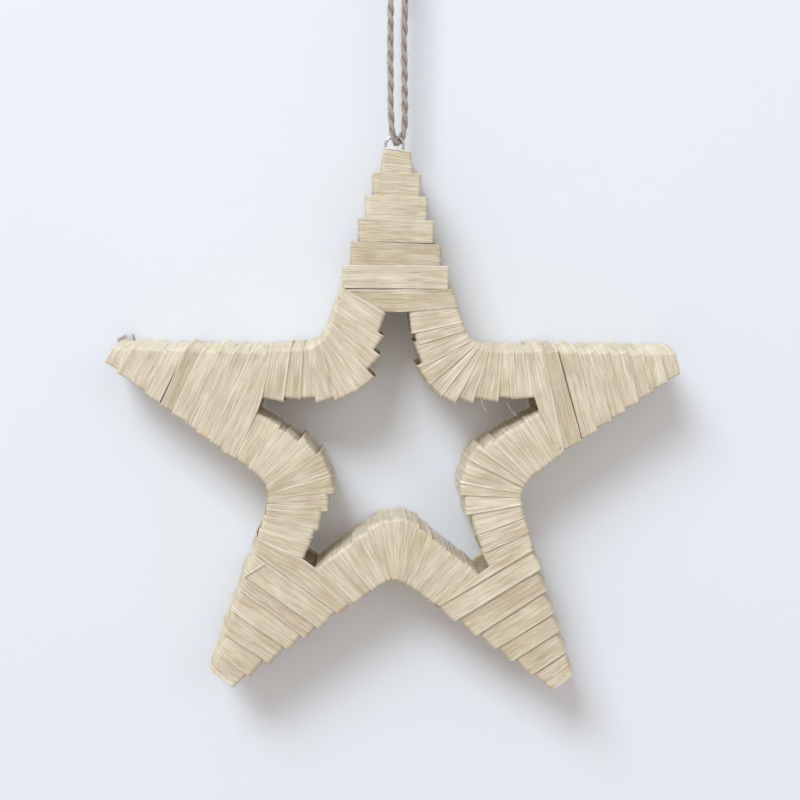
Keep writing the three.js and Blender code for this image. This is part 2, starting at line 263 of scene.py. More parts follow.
def make_piece(name, parts, material, tones=None):
    """One object from closed parts, with each part's tone, 0 to 1, and its painted light and shade as
    attributes.
    """
    counts = [len(part[0]) for part in parts]
    starts = np.cumsum([0] + counts[:-1])
    points = np.vstack([part[0] for part in parts]) * MM
    faces = np.vstack([part[1] + start for part, start in zip(parts, starts)])
    maps = np.vstack([part[2] for part in parts])
    tone = np.repeat([0.5] * len(parts) if tones is None else tones, counts)
    painted_light_and_shade = np.concatenate([part[3] for part in parts])
    mesh = bpy.data.meshes.new(name)
    mesh.vertices.add(len(points))
    mesh.vertices.foreach_set("co", points.ravel())
    mesh.loops.add(faces.size)
    mesh.loops.foreach_set("vertex_index", faces.ravel())
    mesh.polygons.add(len(faces))
    mesh.polygons.foreach_set("loop_start", np.arange(0, faces.size, 3))
    mesh.polygons.foreach_set("use_smooth", np.ones(len(faces), bool))
    mesh.update(calc_edges=True)
    mesh.uv_layers.new(name="strip").data.foreach_set("uv", maps.ravel())
    for label, values in (("tone", tone), ("painted_light_and_shade", painted_light_and_shade)):
        mesh.attributes.new(label, "FLOAT", "POINT").data.foreach_set("value", values)
    mesh.validate()
    mesh.materials.append(material)
    piece = bpy.data.objects.new(name, mesh)
    bpy.context.scene.collection.objects.link(piece)
    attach(piece, "root")
    return piece


def lengths(line):
    """Distance along a line of points at each of them, from 0."""
    return np.concatenate([[0], np.cumsum(np.linalg.norm(np.diff(line, axis=0), axis=1))])


def smooth_path(points, step):
    """A centripetal Catmull-Rom curve through the points, sampled evenly about every step."""
    padded = np.vstack([2 * points[0] - points[1], points, 2 * points[-1] - points[-2]])
    knots = np.concatenate([[0], np.cumsum(np.sqrt(np.linalg.norm(np.diff(padded, axis=0), axis=1)))])
    pieces = []
    for k in range(1, len(padded) - 2):
        t0, t1, t2, t3 = knots[k - 1:k + 3]
        p0, p1, p2, p3 = padded[k - 1:k + 3]
        t = np.linspace(t1, t2, 40, endpoint=False)[:, None]
        a1 = (t1 - t) / (t1 - t0) * p0 + (t - t0) / (t1 - t0) * p1
        a2 = (t2 - t) / (t2 - t1) * p1 + (t - t1) / (t2 - t1) * p2
        a3 = (t3 - t) / (t3 - t2) * p2 + (t - t2) / (t3 - t2) * p3
        b1 = (t2 - t) / (t2 - t0) * a1 + (t - t0) / (t2 - t0) * a2
        b2 = (t3 - t) / (t3 - t1) * a2 + (t - t1) / (t3 - t1) * a3
        pieces.append((t2 - t) / (t2 - t1) * b1 + (t - t1) / (t2 - t1) * b2)
    fine = np.vstack(pieces + [points[-1:]])
    along = lengths(fine)
    count = max(int(round(along[-1] / step)), 3)
    even = np.linspace(0, along[-1], count)
    return np.stack([np.interp(even, along, fine[:, k]) for k in range(3)], 1), even


def path_frames(path):
    """Tangents and two steady normals along a path: each normal is the last one, turned the least."""
    tangents = np.gradient(path, axis=0)
    tangents /= np.linalg.norm(tangents, axis=1, keepdims=True)
    guide = np.array([0.0, -1.0, 0.0])
    if abs(tangents[0] @ guide) > 0.9:
        guide = np.array([1.0, 0.0, 0.0])
    normals = np.empty_like(path)
    for k, tangent in enumerate(tangents):
        guide = guide - tangent * (guide @ tangent)
        guide /= np.linalg.norm(guide)
        normals[k] = guide
    return tangents, normals, np.cross(tangents, normals)


# Node groups and materials

def feed(node, values):
    """Gives a node's inputs, by name or number, their values: sockets are wired, plain ones are set."""
    for name, value in values.items():
        if isinstance(value, bpy.types.NodeSocket):
            node.id_data.links.new(value, node.inputs[name])
        else:
            node.inputs[name].default_value = value


def new_node(tree, kind, **values):
    node = tree.nodes.new("ShaderNode" + kind)
    feed(node, {name.replace("_", " "): value for name, value in values.items()})
    return node


def math_node(tree, operation, first, second, kind="Math"):
    """A Math node on sockets or plain numbers; returns its output."""
    node = new_node(tree, kind)
    node.operation = operation
    feed(node, {0: first, 1: second})
    return node.outputs[0]


def times(tree, first, second):
    return math_node(tree, "MULTIPLY", first, second)


def plus(tree, first, second):
    return math_node(tree, "ADD", first, second)


def vector_sum(tree, first, second):
    return math_node(tree, "ADD", first, second, "VectorMath")


def attribute_node(tree, name):
    node = new_node(tree, "Attribute")
    node.attribute_name = name
    return node.outputs["Fac"]


def strip_map(tree):
    node = new_node(tree, "UVMap")
    node.uv_map = "strip"
    return node.outputs["UV"]


def object_place(tree):
    return new_node(tree, "TexCoord").outputs["Object"]


def ramp_node(tree, factor, low, high):
    """Factor stretched so that low becomes 0 and high becomes 1, smoothly and clamped."""
    node = new_node(tree, "MapRange", Value=factor, From_Min=low, From_Max=high)
    node.interpolation_type = "SMOOTHSTEP"
    return node.outputs["Result"]


def mix_colour(tree, factor, first, second, blend="MIX"):
    """A colour Mix node on sockets or plain values; returns its output."""
    node = new_node(tree, "Mix")
    node.data_type = "RGBA"
    node.blend_type = blend
    feed(node, {0: factor, 6: first, 7: second})
    return node.outputs[2]


def noise_node(tree, vector, scale=1.0, detail=2.0, roughness=0.5):
    node = new_node(tree, "TexNoise", Vector=vector, Scale=scale, Detail=detail, Roughness=roughness)
    return node.outputs["Fac"]


def streaks(tree, vector, along, across, shift, detail=2.0, roughness=0.5):
    """Noise with so many cycles a millimetre along and across the strip, shifted along its map."""
    node = new_node(tree, "Mapping", Vector=vector, Scale=(along, across, 1.0),
                    Location=(shift, 2.0 * shift, 0.0))
    return noise_node(tree, node.outputs["Vector"], 1.0, detail, roughness)


def linear(red, green, blue):
    """A screen colour, 0 to 255, as the linear colour that Blender mixes."""
    srgb = np.array([red, green, blue]) / 255
    low = srgb / 12.92
    high = ((srgb + 0.055) / 1.055) ** 2.4
    return tuple(np.where(srgb <= 0.04045, low, high)) + (1.0,)


def strip_grain_group():
    """Lengthwise grain of a split stalk: fine fibres and broad streaks, with a painted highlight on a few
    raised creases, and painted highlight and shade from the strip's attribute.
    """
    tree = bpy.data.node_groups.new("strip_grain", "ShaderNodeTree")
    for name in ("Dark", "Light", "Pale"):
        tree.interface.new_socket(name=name, in_out="INPUT", socket_type="NodeSocketColor")
    tree.interface.new_socket(name="Contrast", in_out="INPUT", socket_type="NodeSocketFloat")
    for name, kind in (("Color", "Color"), ("Height", "Float"), ("Roughness", "Float")):
        tree.interface.new_socket(name=name, in_out="OUTPUT", socket_type="NodeSocket" + kind)
    darkest, lightest, palest, contrast = tree.nodes.new("NodeGroupInput").outputs[:4]
    tone = attribute_node(tree, "tone")
    painted_light_and_shade = attribute_node(tree, "painted_light_and_shade")
    aside = new_node(tree, "CombineXYZ", Z=times(tree, tone, 40.0)).outputs["Vector"]
    place = vector_sum(tree, strip_map(tree), aside)
    wave = plus(tree, streaks(tree, place, 0.07, 0.12, 23.0), -0.5)
    warp = new_node(tree, "CombineXYZ", Y=times(tree, wave, 1.6)).outputs["Vector"]
    vector = vector_sum(tree, place, warp)
    fibre = streaks(tree, vector, 0.09, 2.3, 0.0, 3.0, 0.65)
    streak = streaks(tree, vector, 0.03, 0.45, 5.0)
    crease = streaks(tree, vector, 0.028, 1.9, 11.0, 3.0, 0.6)
    crack = streaks(tree, vector, 0.032, 1.7, 31.0, 3.0, 0.6)
    patch = streaks(tree, vector, 0.06, 0.1, 3.0)
    fine = streaks(tree, vector, 0.09, 5.5, 17.0, 2.0, 0.6)
    hue = streaks(tree, vector, 0.04, 0.3, 41.0)
    # Painted highlight: the raised creases are painted pale
    pale = ramp_node(tree, crease, 0.56, 0.68)
    dark = ramp_node(tree, crack, 0.57, 0.68)
    body = times(tree, fibre, 0.75)
    for part, weight in ((streak, 0.5), (plus(tree, fine, -0.5), 0.7), (patch, 0.5), (tone, 0.24)):
        body = plus(tree, body, times(tree, part, weight))
    spread = times(tree, plus(tree, body, -1.0), contrast)
    level = ramp_node(tree, plus(tree, spread, 0.5), 0.0, 1.0)
    # Painted highlight on the strip's edges and painted shade in its slits and drawn-in ends, from the mesh
    # attribute
    lit = times(tree, math_node(tree, "MAXIMUM", painted_light_and_shade, 0.0), 0.9)
    shade = times(tree, math_node(tree, "MAXIMUM", times(tree, painted_light_and_shade, -1.0), 0.0), 0.8)
    colour = mix_colour(tree, level, darkest, lightest)
    colour = mix_colour(tree, times(tree, dark, 0.42), colour, darkest, "MULTIPLY")
    colour = mix_colour(tree, times(tree, pale, 0.65), colour, palest)
    colour = mix_colour(tree, lit, colour, palest)
    colour = mix_colour(tree, shade, colour, darkest, "MULTIPLY")
    tint = mix_colour(tree, ramp_node(tree, hue, 0.35, 0.65), linear(255, 253, 243), linear(254, 248, 244))
    feed(tree.nodes.new("NodeGroupOutput"), {
        "Color": mix_colour(tree, 1.0, colour, tint, "MULTIPLY"),
        "Height": plus(tree, times(tree, fibre, 0.5), times(tree, crease, 0.8)),
        "Roughness": plus(tree, times(tree, pale, -0.14), 0.66),
    })
    return tree


def new_material(name):
    material = bpy.data.materials.new(name)
    material.use_nodes = True
    tree = material.node_tree
    return material, tree, tree.nodes["Principled BSDF"]


def bump(tree, height, distance, strength):
    node = new_node(tree, "Bump", Height=height, Distance=distance, Strength=strength)
    return node.outputs["Normal"]


def straw_material(name, grain, dark, light, pale, contrast):
    """Flat straw strip: grain along the strip, a slight shine and a painted highlight on its raised creases.
    """
    material, tree, shader = new_material(name)
    node = new_node(tree, "Group")
    node.node_tree = grain
    feed(node, {"Dark": dark, "Light": light, "Pale": pale, "Contrast": contrast})
    feed(shader, {
        "Base Color": node.outputs["Color"],
        "Roughness": node.outputs["Roughness"],
        "Specular IOR Level": 0.35,
        "Sheen Weight": 0.12,
        "Normal": bump(tree, node.outputs["Height"], 0.0003, 0.7),
    })
    return material


def steel_material():
    """Bright drawn wire: smooth, with faint draw lines and dulled patches."""
    material, tree, shader = new_material("bright_steel_wire")
    dull = noise_node(tree, object_place(tree), 900.0, 3.0)
    feed(shader, {
        "Base Color": mix_colour(tree, dull, linear(176, 178, 182), linear(226, 228, 232)),
        "Roughness": plus(tree, 0.16, times(tree, dull, 0.16)),
        "Metallic": 1.0,
        "Normal": bump(tree, dull, 0.00003, 0.5),
    })
    return material


def jute_material():
    """Jute: matt brown fibres that run slantwise round each ply, with painted shade in the furrows between
    the plies.
    """
    material, tree, shader = new_material("jute_fibre")
    slant = new_node(tree, "Mapping", Vector=strip_map(tree), Rotation=(0.0, 0.0, math.radians(24)))
    fibre = streaks(tree, slant.outputs["Vector"], 0.18, 4.0, 0.0, 3.0, 0.65)
    patch = streaks(tree, strip_map(tree), 0.15, 0.3, 7.0)
    level = plus(tree, times(tree, ramp_node(tree, fibre, 0.3, 0.7), 0.7), times(tree, patch, 0.4))
    colour = mix_colour(tree, level, linear(146, 128, 114), linear(214, 201, 188))
    colour = mix_colour(tree, attribute_node(tree, "tone"), linear(96, 78, 62), colour)
    # Painted shade in the furrows between the plies
    groove_shade = times(tree, math_node(tree, "ABSOLUTE", attribute_node(tree, "painted_light_and_shade"), 0.0), 0.75)
    feed(shader, {
        "Base Color": mix_colour(tree, groove_shade, colour, linear(112, 92, 76)),
        "Roughness": 0.9,
        "Sheen Weight": 0.3,
        "Normal": bump(tree, fibre, 0.0004, 1.0),
    })
    return material


def thread_material():
    """Loose white fibres, slightly shiny."""
    material, tree, shader = new_material("loose_fibre")
    speckle = noise_node(tree, object_place(tree), 700.0)
    colour = mix_colour(tree, speckle, linear(214, 205, 190), linear(240, 236, 228))
    feed(shader, {"Base Color": colour, "Roughness": 0.5})
    return material


def wall_material():
    """A matt white painted wall.

    It is clear from behind, and to light that has come less than WALL_NEAR, so that it neither hides
    the star's back nor darkens it.
    """
    material, tree, shader = new_material("painted_wall")
    place = object_place(tree)
    feed(shader, {
        "Base Color": mix_colour(tree, noise_node(tree, place, 3.0, 3.0), linear(222, 225, 231),
                                 linear(227, 230, 236)),
        "Roughness": 0.7,
        "Normal": bump(tree, noise_node(tree, place, 90.0, 4.0), 0.0004, 0.15),
    })
    behind = new_node(tree, "NewGeometry").outputs["Backfacing"]
    near = math_node(tree, "LESS_THAN", new_node(tree, "LightPath").outputs["Ray Length"], WALL_NEAR)
    clear = new_node(tree, "BsdfTransparent").outputs["BSDF"]
    mixed = new_node(tree, "MixShader")
    feed(mixed, {0: math_node(tree, "MAXIMUM", behind, near), 1: shader.outputs["BSDF"], 2: clear})
    feed(tree.nodes["Material Output"], {"Surface": mixed.outputs["Shader"]})
    return material


GRAIN = strip_grain_group()
STRAW = straw_material("straw_strip", GRAIN, linear(184, 169, 143), linear(226, 218, 200),
                       linear(250, 246, 240), 1.45)
# Grey straw: painted shade, for the fold that stands in shade behind the left tip
STRAW_IN_SHADE = straw_material("strip_in_painted_shade", GRAIN, linear(160, 157, 158), linear(204, 201, 201),
                            linear(214, 213, 212), 1.0)
STEEL = steel_material()
JUTE = jute_material()
THREAD = thread_material()
WALL = wall_material()


# The star's plane

def arm_point(arm, along, across):
    """A point along an arm's axis from the centre, and across it, anticlockwise."""
    angle = math.pi / 2 + ARM_STEP * arm
    axis = np.array([math.cos(angle), math.sin(angle)])
    side = np.array([-axis[1], axis[0]])
    return axis * along + side * across


def arm_half_width(arm, along):
    """Half an arm's width, which tapers evenly from the valleys to the blunt end."""
    tip, reach = ARMS[arm]["tip"], ARMS[arm]["edges"][0]
    valley_along = VALLEY_RADIUS * math.cos(ARM_STEP / 2)
    valley_half = VALLEY_RADIUS * math.sin(ARM_STEP / 2)
    return tip + (valley_half - tip) * (reach - along) / (reach - valley_along)


def swayed(arm, along, across):
    """A point of an arm whose axis leaves the radius evenly from the corner of the hole to the end."""
    reach, root = ARMS[arm]["edges"][0], ARMS[arm]["edges"][-1]
    return arm_point(arm, along, across + float(np.interp(along, (root, reach), ARMS[arm]["sway"])))


def pixel_point(column, row):
    """A pixel's place as (x, z) in the plane of the star's front face."""
    return np.array([column - FRAME_CENTRE[0], FRAME_CENTRE[1] - row]) * PIXEL_SIZE


def section_loop(flats=(26, 9, 38, 9), corner_steps=5):
    """The loop round a limb: shares of the half width and half depth, and unit normals.

    It runs back, left, front, right, joined by quarter rounds, and starts in the middle of the back.
    """
    normals = np.array([(0.0, 1.0), (-1.0, 0.0), (0.0, -1.0), (1.0, 0.0)])
    corners = np.array([(1.0, 1.0), (-1.0, 1.0), (-1.0, -1.0), (1.0, -1.0)])
    rows = []
    for k, count in enumerate(flats):
        start, end = corners[k], corners[(k + 1) % 4]
        share = np.linspace(0, 1, count)[:, None]
        rows.append(np.hstack([start + (end - start) * share, np.tile(normals[k], (count, 1))]))
        turn = np.linspace(0, math.pi / 2, corner_steps + 2)[1:-1, None]
        bend = np.cos(turn) * normals[k] + np.sin(turn) * normals[(k + 1) % 4]
        rows.append(np.hstack([np.tile(end, (corner_steps, 1)), bend]))
    return np.roll(np.vstack(rows), -(flats[0] // 2), axis=0)


LOOP = section_loop()


def harmonics(rng, share, amplitude):
    """A smooth closed wobble over share 0 to 1: sines of whole frequencies with random phases."""
    total = np.zeros_like(share)
    for wave in WAVES:
        total += rng.normal() / wave ** 0.7 * np.sin(math.tau * (wave * share + rng.random()))
    return amplitude * total / len(WAVES) ** 0.5


def bell(distance, width):
    """A smooth hump: exp(-(distance / width)^2)."""
    return np.exp(-(distance / width) ** 2)


def strip_relief(rng, distance, width, girth, round_share):
    """Ridges and creases that run along the strip, each a bell across it, raised or sunk.

    A ridge's place across the strip and its height wobble over the whole turn. A crease stays on a
    straight slant and dies away, as a bell along it, from its middle.
    """
    off = np.zeros((len(distance), len(round_share)))
    for _ in range(rng.integers(*RIDGES["count"])):
        place = rng.uniform(RIDGES["margin"], width - RIDGES["margin"])
        place = place + harmonics(rng, round_share, RIDGES["wander"])[None, :]
        height = rng.choice([-1, 1]) * rng.uniform(*RIDGES["height"])
        height = height * (0.7 + harmonics(rng, round_share, 0.6))[None, :]
        off += height * bell(distance - place, rng.uniform(*RIDGES["width"]))
    around = girth[None, :-1]
    for _ in range(rng.integers(*CREASES["count"])):
        middle = rng.uniform(0, girth[-1])
        length = rng.uniform(*CREASES["length"])
        nearby = (around - middle + girth[-1] / 2) % girth[-1] - girth[-1] / 2
        place = rng.uniform(CREASES["margin"], width - CREASES["margin"]) + rng.normal() * 0.12 * nearby
        height = rng.choice([-1, 1]) * rng.uniform(*CREASES["height"]) * bell(nearby, length)
        off += height * bell(distance - place, rng.uniform(*CREASES["width"]))
    return off


def wound_turn(rng, exposed, tucked, lift, sunk, tuck, corner, bow=(0.0, 0.0), over=(False, False),
               brow=(0.0, 0.0), in_painted_shade=False):
    """One turn of strip round a limb, as a closed skin with its open ends drawn in.

    exposed and tucked are the strip's two edges, each a pair of points in the star's plane from one
    side of the limb to the other. A point at share t across the strip stands on the rounded
    rectangle whose width is that of the line between the edges at t. It stands off by lift at the
    exposed edge and by sunk at the tucked one, plus the strip's relief. bow draws the tucked edge
    back towards the exposed one at each side of the limb, and over lifts it there. brow draws the
    front edges in: a side slopes over the front BROW_DEPTH of its depth. Where it slopes most, the
    exposed edge is frayed and stands up a little more.
    """
    exposed, tucked = np.array(exposed), np.array(tucked)
    onward = (tucked - exposed).mean(0)
    width = np.linalg.norm(onward) + tuck
    onward = onward / np.linalg.norm(onward)
    tucked = tucked + onward * tuck
    count = int(np.clip(width / ROW_STEP, ROWS_FEWEST, ROWS_MOST))
    recess = min(EDGE_RECESS / width, 0.4)
    inner = [recess, 0.35 * recess, 0.0]
    share = np.concatenate([inner, np.linspace(0, 1, count), 1 - np.array(inner[::-1])])[:, None]
    inside = np.concatenate([[1.6, 1.0, 1.0], np.zeros(count), [1.0, 1.0, 1.6]])[:, None]
    left = exposed[0] + (tucked[0] - exposed[0]) * share
    right = exposed[1] + (tucked[1] - exposed[1]) * share
    half = np.linalg.norm(right - left, axis=1, keepdims=True) / 2
    centre = (left + right) / 2
    across = (right - left) / (2 * half)

    xf, yf, nx, ny = (LOOP[None, :, k] for k in range(4))
    depth = STAR_DEPTH / 2 - FACE_CLEARANCE
    closed = np.vstack([LOOP, LOOP[:1]])
    girth = lengths(closed[:, :2] * [half.mean(), depth] + closed[:, 2:] * corner)
    round_share = girth[:-1] / girth[-1]
    distance = share * width
    lying_over = np.where(xf < 0, float(over[0]), float(over[1]))
    tucked_rise = sunk + (0.4 * lift - sunk) * lying_over
    off = lift + (tucked_rise - lift) * share ** 0.8 - 0.2 * lying_over * np.sin(math.pi * share)
    off = off + strip_relief(rng, distance, width, girth, round_share)
    off = off + harmonics(rng, round_share, EDGE_WANDER)[None, :] * (1 - share)
    frayed = np.clip(np.where(xf < 0, brow[0], brow[1]) - FRAY_FROM, 0, 1) * np.abs(nx)
    off = off + EDGE_BEAD_HEIGHT * bell(distance, EDGE_BEAD_WIDTH)
    off = off + FRAY_HEIGHT * frayed * bell(distance, FRAY_WIDTH)
    # Painted highlight: a pale band along the exposed edge, and along the tucked edge where the turn lies
    # over, each turn at its own strength
    lit = rng.uniform(0.2, 1.0) * np.clip(0.6 + harmonics(rng, round_share, 0.9), 0, 1)[None, :]
    painted_light_and_shade = lit * (bell(distance, PAINTED_HIGHLIGHT_WIDTH) + lying_over * bell(width - distance, PAINTED_HIGHLIGHT_WIDTH))
    # Painted shade in the drawn-in ends of the turn
    painted_light_and_shade = np.where(inside > 1.2, -1.0, np.where(inside > 0, 0.0, painted_light_and_shade))
    # A turn wholly in painted shade, for the strip at the bottom of a slit
    if in_painted_shade:
        painted_light_and_shade = np.full_like(painted_light_and_shade, -1.0)
    off = off + FACE_CROWN * (1 - xf ** 2) * np.abs(ny) - STRIP_THICKNESS * inside

    radius = np.minimum(corner, 0.8 * half)
    x = xf * (half - radius) + (radius + off) * nx
    y = yf * (depth - radius) + (radius + off) * ny
    near = np.clip(1 - (y + depth) / BROW_DEPTH, 0, 1)
    x = x * (1 - np.where(x < 0, brow[0], brow[1]) * near / half)
    slant = math.tan(math.radians(rng.normal() * TURN_SLANT))
    ripple = harmonics(rng, round_share, EDGE_RIPPLE)[None, :] * (1 - 0.7 * share)
    sides = np.where(x < 0, bow[0], bow[1]) * np.clip((np.abs(x) - BOW_START) / (half - BOW_START), 0, 1)
    shift = slant * x * (y / depth + 1) / 2 + ripple - sides * share
    flat = centre[:, None, :] + across[:, None, :] * x[..., None] + onward * shift[..., None]
    rings = np.stack([flat[..., 0], y, flat[..., 1] + STAR_Z], -1)
    start = rng.uniform(0, MAP_LENGTH)
    uv = start + np.stack(np.broadcast_arrays(girth[None, :], distance), -1)
    poles = [np.array([[centre[k, 0], 0.0, centre[k, 1] + STAR_Z]]) for k in (0, -1)]
    return closed_tube(rings, uv, *poles, painted_light_and_shade)


def ribbon(path, width_direction, half_width, rng, swell):
    """A thin closed strip: a flat section carried along a path, its width along one direction.

    The section at s from -1 to 1 is ridge(s) +- t sqrt(1 - s^4), with t half the strip's thickness.
    swell, a number for each point of the path, scales the width.
    """
    normals = np.cross(path_frames(path)[0], width_direction)
    normals /= np.linalg.norm(normals, axis=1, keepdims=True)
    spread = np.linspace(-1, 1, 18)
    ridge = 0.12 * np.sin(spread * rng.uniform(5, 9) + rng.random() * 6)
    bulge = STRIP_THICKNESS / 2 * np.sqrt(1.0001 - spread ** 4)
    over = np.stack([spread * half_width, ridge + bulge], 1)
    under = np.stack([spread * half_width, ridge - bulge], 1)[::-1]
    section = np.vstack([over, under])
    rings = (path[:, None, :] + section[None, :, :1] * width_direction * swell[:, None, None]
             + section[None, :, 1:] * normals[:, None, :])
    along = lengths(path)
    start = rng.uniform(0, MAP_LENGTH)
    across = np.append(section[:, 0], section[0, 0])
    uv = start + np.stack(np.broadcast_arrays(along[:, None], across[None, :]), -1)
    return closed_tube(rings, uv, path[:1], path[-1:])


def end_folds(rng, arm, reach, slant):
    """The strips folded over an arm's blunt end, from the front face over the end to the back."""
    parts = []
    depth = STAR_DEPTH / 2 - FACE_CLEARANCE - STRIP_THICKNESS
    side = arm_point(arm, 0, 1)
    tip, (left, right) = ARMS[arm]["tip"], ARMS[arm]["brow"]
    turn = np.linspace(0, math.pi / 2, 7)
    rise, run = FOLD_RADIUS * (1 - np.cos(turn)), FOLD_RADIUS * (1 - np.sin(turn))
    for place, half_width, stand in END_FOLDS:
        end = reach + stand - FOLD_SINK - slant * place
        front = np.stack([end - run, rise - depth], 1)
        back = np.stack([end - rise, depth - run], 1)
        start = end - FOLD_LENGTH
        profile = np.vstack([[(start, -depth)], front, back, [(start, depth)]])
        near = np.clip(1 - (profile[:, 1] + depth) / BROW_DEPTH, 0, 1)
        squeeze = 1 - near * (left + right) / (2 * tip)
        flat = np.array([swayed(arm, along, place * tip / FOLD_TIP * slim + (right - left) / 2 * by)
                         for along, slim, by in zip(profile[:, 0], squeeze, near)])
        path, _ = smooth_path(np.stack([flat[:, 0], profile[:, 1], flat[:, 1] + STAR_Z], 1), 1.0)
        swell = 1 - np.clip(1 - (path[:, 1] + depth) / BROW_DEPTH, 0, 1) * (left + right) / (2 * tip)
        parts.append(ribbon(path, (side[0], 0.0, side[1]), half_width * tip / FOLD_TIP, rng, swell))
    return parts


def arm_wrap(arm):
    """The turns round one arm, from the blunt end to the corner of the hole."""
    spec = ARMS[arm]
    rng = np.random.default_rng(100 + arm)
    edges = spec["edges"]
    count = len(edges) - 1
    parts, tones = [], []
    for k in range(count):
        inner = edges[k + 1]
        last = k == count - 1
        middle = arm_half_width(arm, (edges[k] + inner) / 2)
        jitter = 0.0 if last else rng.normal() * WIDTH_JITTER
        bow = [0.85 * far if (last and over) else 0.0 for far, over in zip(spec["shoulders"], spec["over"])]
        ends = []
        slants = []
        for at in (k, k + 1):
            lean = np.interp(at, (0, 1, count), spec["lean"]) + rng.normal() * LEAN_JITTER * (at > 0)
            slants.append(math.tan(math.radians(lean)))
        gaps = spec["slits"].get(k, (0.0, 0.0))
        inner_slant = 0.0 if last else slants[1]
        for edge, lean, slit in ((edges[k], slants[0], gaps), (inner, inner_slant, (0.0, 0.0))):
            points = []
            for side, step, over, gap, back in zip((1, -1), spec["steps"], spec["over"], slit, bow):
                place = edge - gap
                level = place + (back if edge == inner else 0.0)
                step = 0.45 * step if k == 0 else step * (not last)
                half = arm_half_width(arm, level) * (1 - step) + middle * step + jitter
                if last and not over:
                    half = arm_half_width(arm, place) - 0.9
                points.append(swayed(arm, place - side * lean * half, side * half))
            ends.append(points)
        tuck = 0.0 if (last or (k + 1) in spec["slits"]) else STRIP_TUCK
        lift = spec["lift"] * rng.uniform(0.8, 1.2)
        over = spec["over"] if last else (False, False)
        parts.append(wound_turn(rng, *ends, lift, -0.25, tuck, spec["corner"], bow, over, spec["brow"]))
        # The strip at the bottom of a slit: painted shade throughout, and the darkest tone for more painted
        # shade
        if k in spec["slits"]:
            floor = []
            for place in (edges[k] + SLIT_REACH[0], edges[k] + SLIT_REACH[1]):
                half = arm_half_width(arm, place) - SLIT_INSET
                floor.append([arm_point(arm, place, half), arm_point(arm, place, -half)])
            parts.append(wound_turn(rng, *floor, -SLIT_DEPTH, -SLIT_DEPTH, 0.0, spec["corner"],
                                    brow=spec["brow"], in_painted_shade=True))
            tones.append(0.0)
        tones.append(rng.uniform(*spec["tones"]))
    folds = end_folds(rng, arm, edges[0], math.tan(math.radians(spec["lean"][0])))
    parts += folds
    tones += [rng.uniform(*FOLD_TONES) for _ in folds]
    piece = make_piece(f"{spec['name']}_arm_straw", parts, STRAW, tones)
    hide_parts(f"{spec['name']}_arm_wrap")


def rounded_line(start, corner, end, rounding, count=400):
    """Two straight stretches whose corner is rounded by a quadratic curve, sampled evenly."""
    before = corner + (start - corner) * rounding
    after = corner + (end - corner) * rounding
    t = np.linspace(0, 1, 60)[:, None]
    bend = (1 - t) ** 2 * before + 2 * t * (1 - t) * corner + t ** 2 * after
    line = np.vstack([start[None], bend, end[None]])
    along = lengths(line)
    even = np.linspace(0, along[-1], count)
    return np.stack([np.interp(even, along, line[:, k]) for k in range(2)], 1)


def bend_wrap(bend):
    """The turns round the two limbs that meet at a valley, fanning out from the valley.

    A turn's edge that is at share m along the inner line is at m + c sin(2 pi m) / (2 pi) along the
    outer one, so that the edges crowd together at the valley.
    """
    spec = BENDS[bend]
    rng = np.random.default_rng(200 + bend)
    corners = []
    for number, side, index in ((bend, 1, 0), ((bend + 1) % 5, -1, 1)):
        arm = ARMS[number]
        root = arm["edges"][-1] + (UNDERLAP if arm["over"][index] else -ROOT_GAP)
        shoulder = root + arm["shoulders"][index]
        corners.append((arm_point(number, shoulder, side * arm_half_width(number, shoulder)),
                        arm_point(number, root, side * arm["notch"][index])))
    valley, bulge = arm_point(bend + 0.5, VALLEY_RADIUS, 0), arm_point(bend + 0.5, BULGE_RADIUS, 0)
    outer = rounded_line(corners[0][0], valley, corners[1][0], spec["rounding"])
    inner = rounded_line(corners[0][1], bulge, corners[1][1], BULGE_ROUNDING)
    marks = np.linspace(0, 1, spec["turns"] + 1)
    marks[1:-1] += rng.normal(size=spec["turns"] - 1) * MARK_JITTER / spec["turns"]
    crowded = marks + VALLEY_CROWDING * np.sin(math.tau * marks) / math.tau
    parts, tones = [], []
    for k in range(spec["turns"]):
        a, b = (int(round(mark * (len(inner) - 1))) for mark in marks[k:k + 2])
        outer_a, outer_b = (outer[int(round(mark * (len(outer) - 1)))] for mark in crowded[k:k + 2])
        ends = square_end(outer_a, outer_b, inner[a], inner[b], spec["square"])
        last = k == spec["turns"] - 1
        exposed = [outer_a, inner[a] if k == 0 else ends[0]]
        tucked = [outer_b, inner[b] if last else ends[1]]
        lift = spec["lift"] * rng.uniform(0.3, 1.1)
        if k == 0:
            lift = -0.2 if ARMS[bend]["over"][0] else spec["lift"] + 0.3
        sunk = -0.3 if last else -0.2
        across = marks[k:k + 2].mean()
        brow = (spec["brow"][0] * (1 - across) + spec["brow"][1] * across, 0.0)
        tuck = 0.0 if last else STRIP_TUCK
        parts.append(wound_turn(rng, exposed, tucked, lift, sunk, tuck, BEND_CORNER_RADIUS, brow=brow))
        tones.append(rng.uniform(*MIDDLE_TONES))
    piece = make_piece(f"{spec['name']}_bend_straw", parts, STRAW, tones)
    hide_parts(f"{spec['name']}_bend_wrap")


def square_end(outer_a, outer_b, inner_a, inner_b, square):
    """The inner corners of a turn, carried towards the further one's reach from the outer edge."""
    middle = (outer_a + outer_b) / 2
    direction = (inner_a + inner_b) / 2 - middle
    direction = direction / np.linalg.norm(direction)
    reach = max((inner_a - middle) @ direction, (inner_b - middle) @ direction)
    ends = []
    for start, end in ((outer_a, inner_a), (outer_b, inner_b)):
        low, high = (start - middle) @ direction, (end - middle) @ direction
        full = start + (end - start) * (reach - low) / (high - low)
        ends.append(end + (full - end) * square)
    return ends


# Twine, knot and eye

